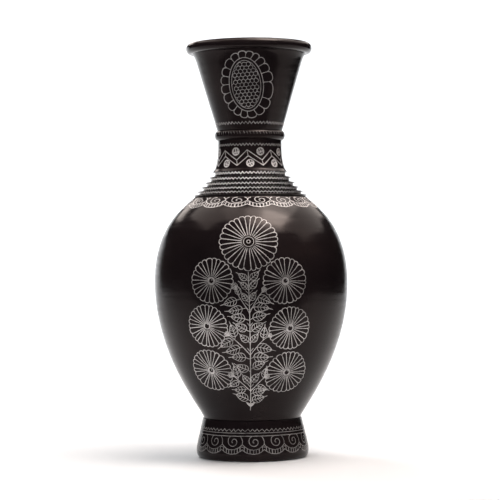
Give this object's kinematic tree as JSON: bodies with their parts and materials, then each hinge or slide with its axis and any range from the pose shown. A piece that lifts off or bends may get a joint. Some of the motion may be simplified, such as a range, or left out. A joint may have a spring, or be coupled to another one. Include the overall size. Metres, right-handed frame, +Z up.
{
  "type": "black clay vase",
  "caption": "Burnished black clay vase with a trumpet mouth, beaded neck, stepped shoulder, egg-shaped body and flared foot, decorated with silvery inlaid lines.",
  "frame": {"origin": "centre of the foot's resting face", "axes": "+Z up along the vase's axis; the panel with the bouquet faces -Y"},
  "size_m": [0.1402, 0.1402, 0.3],
  "materials": {
    "black_clay": "burnished, semi-gloss",
    "silver_inlay": "dull silvery filling, worn flush"
  },
  "bodies": {
    "root": {"base_disc": "black_clay", "foot_ring": "black_clay", "foot_line_upper": "silver_inlay", "foot_line_lower": "silver_inlay", "lower_body": "black_clay", "upper_body": "black_clay", "stepped_shoulder": "black_clay", "neck": "black_clay", "collar_bead": "black_clay", "mouth_funnel": "black_clay", "rim_roll": "black_clay"}
  },
  "joints": []
}
